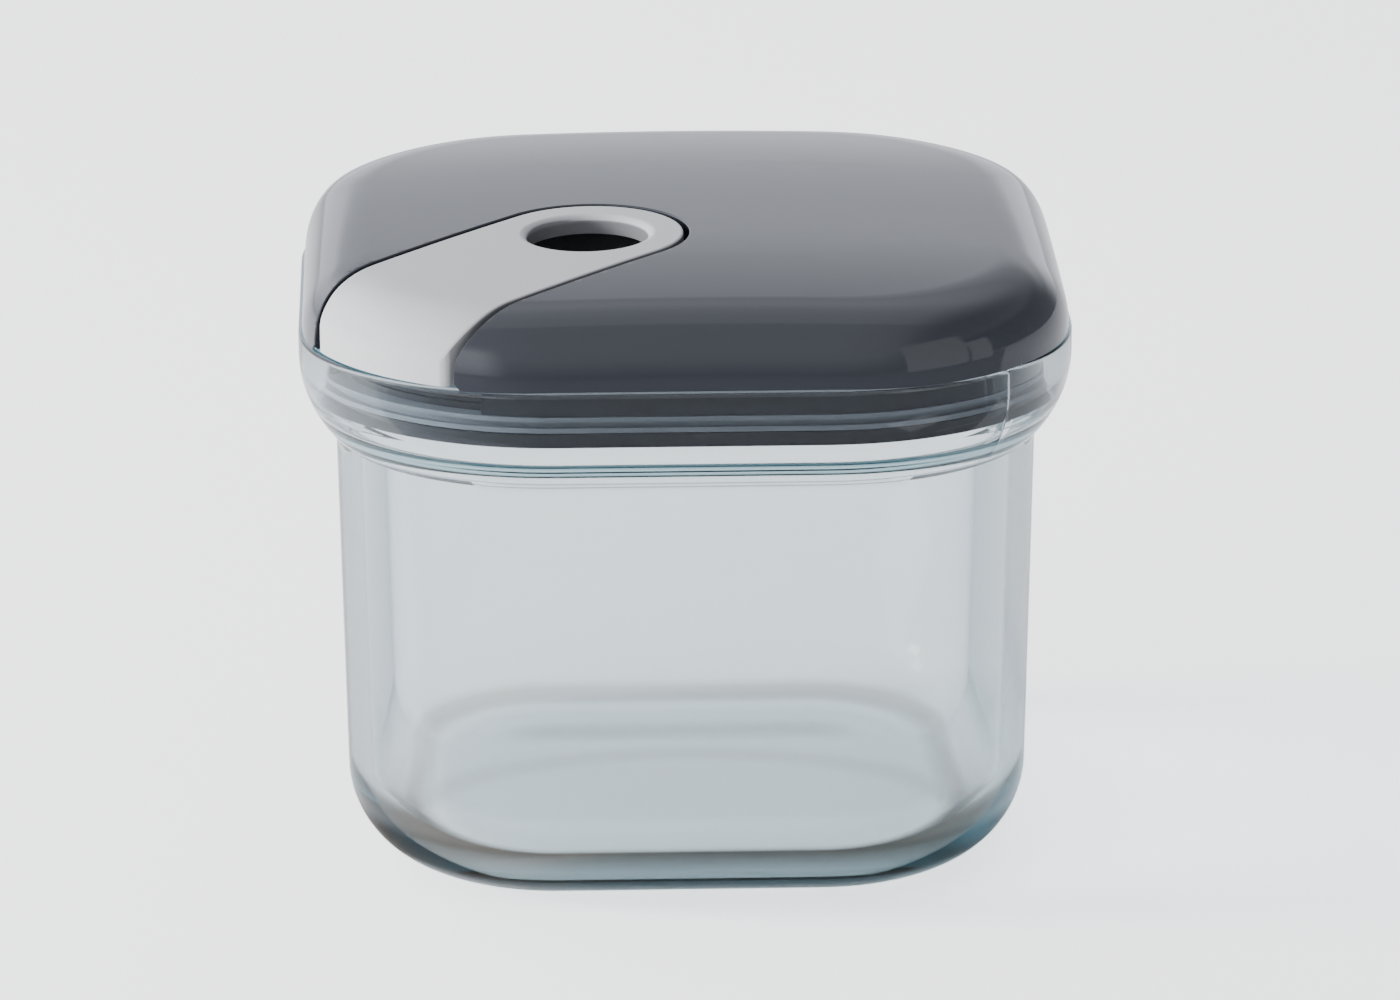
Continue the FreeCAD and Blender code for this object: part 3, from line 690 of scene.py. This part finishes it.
# Painted shade: the tone of the lever's bore and side walls, darker than its top.
PAINTED_SHADE_TONE = (0.15, 0.15, 0.155)
BORE_EDGE = (HOLE_RADIUS + 0.12 * MM, HOLE_RADIUS + 0.04 * MM)
SIDE_FACING = (0.70, 0.85)
LEVER_ACROSS = (math.sqrt(0.5), -math.sqrt(0.5), 0)
toe_centre = CORNER_CENTRE * math.sqrt(2)
toe_start = toe_centre + math.sqrt(TOE_RADIUS ** 2 - LEVER_HALF ** 2)


def round_toe(place):
    """Carry the straight end of the lever out to the arc of the lid's corner."""
    if abs(place.x - toe_start) >= NEAR:
        return place
    return Vector((toe_centre + math.sqrt(TOE_RADIUS ** 2 - place.y ** 2), place.y, place.z))


lever = tongue("lever_satin", LEVER_RING, LEVER_HALF, toe_start, -LEVER_SKIN, 0, LEVER_STEPS)
select(lever, "EDGE", lambda edge: all(abs(v.co.x - toe_start) < NEAR for v in edge.verts)
       and abs(edge.verts[0].co.z - edge.verts[1].co.z) < NEAR)
bpy.ops.mesh.subdivide(number_cuts=TOE_CUTS)
move_vertices(lever, round_toe)
select(lever, "EDGE", lambda edge: all(abs(abs(v.co.y) - LEVER_HALF) < NEAR for v in edge.verts)
       and all(abs(v.co.x - toe_start) < 10 * NEAR for v in edge.verts))
bpy.ops.mesh.bevel(offset=TOE_CORNER, segments=TOE_STEPS, affect="EDGES")
bpy.ops.object.mode_set(mode="OBJECT")
bpy.ops.object.select_all(action="DESELECT")
bpy.ops.mesh.primitive_cylinder_add(vertices=HOLE_SIDES, radius=HOLE_RADIUS, depth=4 * LEVER_SKIN,
                                    location=(LEVER_RING, 0, -LEVER_SKIN / 2))
hole_tool = bpy.context.object
settle()
combine(lever, hole_tool, "DIFFERENCE")
bpy.ops.object.mode_set(mode="EDIT")


def from_ring(place):
    """The distance of a point in plan from the middle of the finger opening, with the lever along +X."""
    return math.hypot(place.x - LEVER_RING, place.y)


def is_top_edge(edge):
    """Whether an edge of the flat lever joins its top to a wall."""
    if len(edge.link_faces) != 2 or any(abs(v.co.z) > NEAR for v in edge.verts):
        return False
    return min(face.normal.z for face in edge.link_faces) < 0.5


select(lever, "EDGE", lambda edge: is_top_edge(edge) and from_ring(edge.verts[0].co) < HOLE_RADIUS + 0.1 * MM)
bpy.ops.mesh.bevel(offset=HOLE_ROUND, segments=HOLE_STEPS, affect="EDGES")
select(lever, "EDGE", lambda edge: is_top_edge(edge) and from_ring(edge.verts[0].co) > LEVER_HALF - 0.1 * MM)
bpy.ops.mesh.bevel(offset=LEVER_EDGE, segments=EDGE_STEPS, affect="EDGES")
for start, pitch, cuts in LEVER_CUTS:
    score(lever, lambda face: True, (1, 0, 0), [start + step * pitch for step in range(cuts)])
across_cuts = [step * ACROSS_PITCH for step in range(-ACROSS_CUTS, ACROSS_CUTS + 1)]
score(lever, lambda face: abs(face.normal.z) > 0.999, (0, 1, 0), across_cuts)
turn_to_corner(lever)
bpy.ops.object.mode_set(mode="EDIT")


def lever_under(x, y):
    """The height of the skin's underside: the dome and the roll again, one skin further in."""
    inside = from_edge(x, y) - LEVER_SKIN
    roll = CROWN_ROLL - LEVER_SKIN
    if inside <= 0:
        return LID_UNDER
    short = max(roll - inside, 0)
    return LID_TOP - LEVER_SKIN - dome_drop(x, y) - (roll - math.sqrt(roll ** 2 - short ** 2))


def lift_to_lid(place):
    """Bend the flat lever to the lid: its top to the crown, its underside to the curve one skin below."""
    x, y = toe_turn(place.x, place.y, TOE_TURN)
    if place.z < -LEVER_SKIN + NEAR:
        return Vector((*corner_push(x, y), lever_under(x, y)))
    return Vector((*corner_push(x, y), crown_height(x, y) + place.z))


move_vertices(lever, lift_to_lid)
bpy.ops.object.mode_set(mode="OBJECT")


def rib_block(side, start, end, low, high):
    """A block of one rib, in the lever's own frame, ready to weld on."""
    bpy.ops.object.select_all(action="DESELECT")
    middle = ((start + end) / 2, side * (RIB_INNER + RIB_OUTER) / 2, (low + high) / 2)
    bpy.ops.mesh.primitive_cube_add(size=1, location=middle)
    block = bpy.context.object
    block.scale = (end - start, RIB_OUTER - RIB_INNER, high - low)
    settle()
    return block


def pin_barrel(side, radius, width):
    """A round bar across the lever at the hinge pin."""
    bpy.ops.object.select_all(action="DESELECT")
    middle = (PIN_ALONG, side * (RIB_INNER + RIB_OUTER) / 2, PIN_HEIGHT)
    bpy.ops.mesh.primitive_cylinder_add(vertices=PIN_SIDES, radius=radius, depth=width, location=middle,
                                        rotation=(math.pi / 2, 0, 0))
    settle()
    return bpy.context.object


for side in (-1, 1):
    rib = rib_block(side, RIB_START, RIB_END, RIB_LOW, RIB_TOP)
    leg = rib_block(side, PIN_ALONG - KNUCKLE, PIN_ALONG + KNUCKLE, PIN_HEIGHT, RIB_LOW + RIB_LAP)
    combine(rib, leg, "UNION")
    combine(rib, pin_barrel(side, KNUCKLE, RIB_OUTER - RIB_INNER), "UNION")
    combine(rib, pin_barrel(side, PIN_BORE, 3 * RIB_OUTER), "DIFFERENCE")
    turn_to_corner(rib)
    combine(lever, rib, "UNION")
finish_mesh(lever)
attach(lever, "lever")
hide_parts("lever")


def steer(nodes, links, operation, *terms):
    """A Vector Math node on links or plain vectors; a length or a dot product comes out as a value."""
    node = nodes.new("ShaderNodeVectorMath")
    node.operation = operation
    for socket, term in zip(node.inputs, terms):
        feed(links, socket, term)
    return node.outputs["Value" if operation in ("LENGTH", "DOT_PRODUCT") else "Vector"]


satin, nodes, links, shader = new_material("pale_satin")
skin = grain(nodes, LEVER_GRAIN, LEVER_TONES, LEVER_GLOSS)
place = nodes.new("ShaderNodeTexCoord").outputs
ring_middle = (LEVER_RING * math.cos(LEVER_TURN), LEVER_RING * math.sin(LEVER_TURN), 0)
from_hole = steer(nodes, links, "SUBTRACT", place["Object"], ring_middle)
bore = steer(nodes, links, "LENGTH", steer(nodes, links, "MULTIPLY", from_hole, (1, 1, 0)))
in_bore = spread(nodes, links, bore, *BORE_EDGE)
# The bore and the side walls get painted shade, for the dark gap round the lever and the shaded wall of the
# opening.
sideways = steer(nodes, links, "DOT_PRODUCT", place["Normal"], LEVER_ACROSS)
on_side = spread(nodes, links, calculate(nodes, links, "ABSOLUTE", sideways), *SIDE_FACING)
in_painted_shade = calculate(nodes, links, "MAXIMUM", in_bore, on_side)
links.new(blend(nodes, links, in_painted_shade, skin["Tone"], PAINTED_SHADE_TONE), shader.inputs["Base Color"])
links.new(skin["Roughness"], shader.inputs["Roughness"])
bump(nodes, links, shader, skin["Height"], *LEVER_BUMP)
paint(lever, satin)

# The floor: a plain pale sheet, softly lit from below as a light table is, that reaches past the picture on
# every side. It isn't part of the canister. A painted shade under the foot, with a faint painted arc of shade
# under the glass, is seen through the glass and not straight on, and a surface that mirrors the floor once
# sees it with its light off.
FLOOR_WIDTH = 8.0
FLOOR_DROP = 0.15 * MM
FLOOR_TONE = (0.90, 0.90, 0.90)
FLOOR_GLOW = 1.3
FLOOR_GLOSS = (0.75, 0.85)
FLOOR_GRAIN = 60.0
FLOOR_SPECULAR = 0.2
SHADE_TONE = (0.20, 0.16, 0.13)
SHADE_GLOW = 0.06
SHADE_INNER = (42 * MM, 48 * MM)
SHADE_OUTER = (64 * MM, 54 * MM)
SHADE_LEAN = (30 * MM, -30 * MM)
SHADE_BEHIND = 0.05
ARC_HALF = (46 * MM, 34 * MM)
ARC_MIDDLE = -17 * MM
ARC_INNER = (0.86, 0.98)
ARC_OUTER = (1.14, 1.02)
ARC_FRONT = (-26 * MM, -12 * MM)
ARC_SHARE = 0.18


def mirrored_once(nodes, links):
    """1 for a line of sight that has met one mirroring surface on its way, and otherwise 0."""
    path = nodes.new("ShaderNodeLightPath")
    return calculate(nodes, links, "COMPARE", path.outputs["Glossy Depth"], 1.0, 0.25)


bpy.ops.object.select_all(action="DESELECT")
bpy.ops.mesh.primitive_plane_add(size=FLOOR_WIDTH, location=(0, 0, -FLOOR_DROP))
floor = bpy.context.object
floor.name = "floor"
pale, nodes, links, shader = new_material("pale_floor")
links.new(grain(nodes, FLOOR_GRAIN, gloss=FLOOR_GLOSS)["Roughness"], shader.inputs["Roughness"])
shader.inputs["Specular IOR Level"].default_value = FLOOR_SPECULAR
shader.inputs["Emission Color"].default_value = (1, 1, 1, 1)
spot = nodes.new("ShaderNodeTexCoord").outputs["Object"]
aside = nodes.new("ShaderNodeSeparateXYZ")
links.new(spot, aside.inputs["Vector"])


def step_over(value, start, end):
    """0 before start and 1 after end, softly."""
    return spread(nodes, links, value, start, end, kind="SMOOTHSTEP")


def product(first, second):
    """Two shares multiplied."""
    return calculate(nodes, links, "MULTIPLY", first, second)


# Painted shade on the floor in a band round the foot, stronger towards the front.
core_half = RIM_HALF - RIM_CORNER
past_core = steer(nodes, links, "SUBTRACT", steer(nodes, links, "ABSOLUTE", spot), (core_half, core_half, 0))
reach = steer(nodes, links, "LENGTH", steer(nodes, links, "MAXIMUM", past_core, (0, 0, 0)))
shade = product(step_over(reach, *(edge - core_half for edge in SHADE_INNER)),
                step_over(reach, *(edge - core_half for edge in SHADE_OUTER)))
lean = spread(nodes, links, step_over(aside.outputs["Y"], *SHADE_LEAN), 0.0, 1.0, SHADE_BEHIND)
shade = product(shade, lean)
# A faint painted arc of shade under the glass, for the shadow of the lid that falls inside it.
oval = steer(nodes, links, "MULTIPLY_ADD", spot, (1 / ARC_HALF[0], 1 / ARC_HALF[1], 0),
             (0, -ARC_MIDDLE / ARC_HALF[1], 0))
oval_reach = steer(nodes, links, "LENGTH", oval)
arc_shade = product(step_over(oval_reach, *ARC_INNER), step_over(oval_reach, *ARC_OUTER))
arc_shade = product(arc_shade, step_over(aside.outputs["Y"], *ARC_FRONT))
faint = spread(nodes, links, arc_shade, 0.0, 1.0, 0.0, ARC_SHARE)
shade = calculate(nodes, links, "MAXIMUM", shade, faint)
straight_on = nodes.new("ShaderNodeLightPath").outputs["Is Camera Ray"]
shade = product(shade, calculate(nodes, links, "SUBTRACT", 1.0, straight_on))
glow = spread(nodes, links, shade, 0.0, 1.0, FLOOR_GLOW, SHADE_GLOW)
unmirrored = calculate(nodes, links, "SUBTRACT", 1.0, mirrored_once(nodes, links))
links.new(product(glow, unmirrored), shader.inputs["Emission Strength"])
links.new(blend(nodes, links, shade, FLOOR_TONE, SHADE_TONE), shader.inputs["Base Color"])
paint(floor, pale)

# The card: a grey studio card that lies in front of the canister, just over the floor, so that the glass and
# the lid have something darker to mirror. It shows in first reflections only, and one opening in it leaves a
# bright patch low on the right of the glass.
CARD_WIDTH = 4.0
CARD_PLACE = (0.6, -2.06, 1.5 * MM)
CARD_TONES = ((0.28, 0.28, 0.29), (0.32, 0.32, 0.33))
CARD_GRAIN = 40.0
CARD_ROUGHNESS = 0.9
OPENING_ACROSS = (0.105, 0.185)
OPENING_ALONG = (-0.190, -0.130)


def in_opening(face):
    """Whether a face of the card is the opening."""
    middle = face.calc_center_median()
    return (OPENING_ACROSS[0] < middle.x < OPENING_ACROSS[1]
            and OPENING_ALONG[0] < middle.y < OPENING_ALONG[1])


bpy.ops.object.select_all(action="DESELECT")
bpy.ops.mesh.primitive_plane_add(size=CARD_WIDTH, location=CARD_PLACE)
card = bpy.context.object
card.name = "dark_card"
settle()
bpy.ops.object.mode_set(mode="EDIT")
score(card, lambda face: True, (1, 0, 0), OPENING_ACROSS)
score(card, lambda face: True, (0, 1, 0), OPENING_ALONG)
select(card, "FACE", in_opening)
bpy.ops.mesh.delete(type="FACE")
bpy.ops.object.mode_set(mode="OBJECT")
matt_grey, nodes, links, shader = new_material("grey_card")
links.new(grain(nodes, CARD_GRAIN, CARD_TONES)["Tone"], shader.inputs["Base Color"])
shader.inputs["Roughness"].default_value = CARD_ROUGHNESS
shader.inputs["Specular IOR Level"].default_value = 0.0
unseen = see_through(nodes, (1, 1, 1))
seen = choose(nodes, links, mirrored_once(nodes, links), unseen, shader.outputs["BSDF"])
links.new(seen, nodes["Material Output"].inputs["Surface"])
paint(card, matt_grey)
card.visible_camera = False
card.visible_diffuse = False
card.visible_shadow = False

# The studio: a pale room, bright low down at the back and on the left, dimmer in front and dark to the right.
# Each tone is the room's brightness against the height of the line of sight. One soft lamp stands on the
# left, and two panes of a broad window on the right show only in gloss.
ROOM_SCALE = 4.0
ROOM_TINT = (0.95, 0.98, 1.06)
ROOM_BACK = ((0.0, 1.9), (0.15, 1.85), (0.20, 1.28), (0.25, 1.2), (0.30, 1.28), (0.34, 1.0), (0.38, 0.78),
             (0.5, 0.75), (0.72, 1.3), (1.0, 1.4))
ROOM_FRONT = ((0.0, 0.3), (0.17, 0.6), (0.41, 0.95), (0.7, 1.05), (1.0, 1.05))
ROOM_RIGHT = ((0.0, 0.30), (0.40, 0.30), (0.48, 0.50), (0.8, 0.40), (1.0, 0.5))
ROOM_LEFT = ((0.0, 1.5), (0.2, 2.4), (0.5, 2.7), (0.7, 1.1), (1.0, 0.9))
FRONT_TO_BACK = (-0.055, -0.025)
ROOM_TO_RIGHT = (0.3, 0.7)
ROOM_TO_LEFT = (-0.22, -0.50)
LIGHT_AIM = Vector((0, 0, 90 * MM))
LAMP_BEARING = -90
LAMP_HEIGHT = 14
LAMP_DISTANCE = 1.6
LAMP_WIDTH = 0.32
LAMP_POWER = 56.0
WINDOW_TONES = ((0.95, 0.97, 1.0), (1.0, 1.0, 1.0))
WINDOW_GRAIN = 3.0
WINDOW_GLOW = 1.0
WINDOW_PANES = (("window_pane_near", 130, 14, 0.62, 0.70), ("window_pane_far", 106, 6, 0.20, 0.44))
world = bpy.data.worlds.new("studio")
bpy.context.scene.world = world
world.use_nodes = True
nodes = world.node_tree.nodes
links = world.node_tree.links
sight = nodes.new("ShaderNodeSeparateXYZ")
links.new(nodes.new("ShaderNodeTexCoord").outputs["Generated"], sight.inputs["Vector"])


def room_side(tones):
    """A side of the room: its brightness from the floor (0) to straight overhead (1)."""
    stops = [(height, [tone * share / ROOM_SCALE for share in ROOM_TINT]) for height, tone in tones]
    return grade(nodes, links, sight.outputs["Z"], stops)


def room_turn(axis, edges, first, second):
    """Pass from one side of the room to another as the line of sight turns."""
    return blend(nodes, links, step_over(sight.outputs[axis], *edges), first, second)


def way_to(bearing, height):
    """The direction of a light from the canister, by a bearing and a height in degrees."""
    turn, rise = math.radians(bearing), math.radians(height)
    return Vector((math.sin(turn) * math.cos(rise), math.cos(turn) * math.cos(rise), math.sin(rise)))


def window_pane(name, bearing, height, width, tall):
    """A pane of a distant window on the right, a metre away, that only shows in gloss."""
    way = way_to(bearing, height)
    bpy.ops.object.select_all(action="DESELECT")
    bpy.ops.mesh.primitive_plane_add(size=1, location=LIGHT_AIM + way,
                                     rotation=(-way).to_track_quat("Z", "Y").to_euler())
    pane = bpy.context.object
    pane.name = name
    pane.scale = (width, tall, 1)
    settle()
    lit, nodes, links, shader = new_material(name + "_light")
    shader.inputs["Base Color"].default_value = (0, 0, 0, 1)
    links.new(grain(nodes, WINDOW_GRAIN, WINDOW_TONES)["Tone"], shader.inputs["Emission Color"])
    shader.inputs["Emission Strength"].default_value = WINDOW_GLOW
    paint(pane, lit)
    pane.visible_camera = False
    pane.visible_diffuse = False
    pane.visible_transmission = False
    pane.visible_shadow = False


room = room_turn("Y", FRONT_TO_BACK, room_side(ROOM_FRONT), room_side(ROOM_BACK))
room = room_turn("X", ROOM_TO_RIGHT, room, room_side(ROOM_RIGHT))
room = room_turn("X", ROOM_TO_LEFT, room, room_side(ROOM_LEFT))
links.new(room, nodes["Background"].inputs["Color"])
nodes["Background"].inputs["Strength"].default_value = ROOM_SCALE
lamp_way = way_to(LAMP_BEARING, LAMP_HEIGHT)
lamp = bpy.data.lights.new("left_lamp", "AREA")
lamp.size = LAMP_WIDTH
lamp.energy = LAMP_POWER
lamp_stand = bpy.data.objects.new("left_lamp", lamp)
lamp_stand.location = LIGHT_AIM + lamp_way * LAMP_DISTANCE
lamp_stand.rotation_euler = (-lamp_way).to_track_quat("-Z", "Y").to_euler()
lamp_stand.visible_glossy = False
bpy.context.scene.collection.objects.link(lamp_stand)
for pane_sizes in WINDOW_PANES:
    window_pane(*pane_sizes)

# The camera: a long lens that stands in front of the canister and looks down a little on the lid. Its place,
# aim, roll and lens were fitted to the corners and edges of the canister in the picture.
CAMERA_BEARING = math.radians(-1.81)
CAMERA_HEIGHT = math.radians(17.283)
CAMERA_ROLL = math.radians(-0.164)
CAMERA_DISTANCE = 1343.0 * MM
CAMERA_AIM_RIGHT = 2.846 * MM
CAMERA_AIM_UP = 51.142 * MM
CAMERA_LENS = 217.675
CAMERA_SENSOR = 36.0
CAMERA_NEAR = 0.05
back = Vector((math.sin(CAMERA_BEARING) * math.cos(CAMERA_HEIGHT),
               -math.cos(CAMERA_BEARING) * math.cos(CAMERA_HEIGHT), math.sin(CAMERA_HEIGHT)))
right = Vector((math.cos(CAMERA_BEARING), math.sin(CAMERA_BEARING), 0))
up = back.cross(right)
roll = Matrix.Rotation(CAMERA_ROLL, 3, back)
camera_data = bpy.data.cameras.new("camera")
camera_data.lens = CAMERA_LENS
camera_data.sensor_width = CAMERA_SENSOR
camera_data.clip_start = CAMERA_NEAR
camera = bpy.data.objects.new("camera", camera_data)
camera.rotation_euler = (roll @ Matrix((right, up, back)).transposed()).to_euler()
camera.location = Vector((0, 0, CAMERA_AIM_UP)) + right * CAMERA_AIM_RIGHT + back * CAMERA_DISTANCE
bpy.context.scene.collection.objects.link(camera)
bpy.context.scene.camera = camera
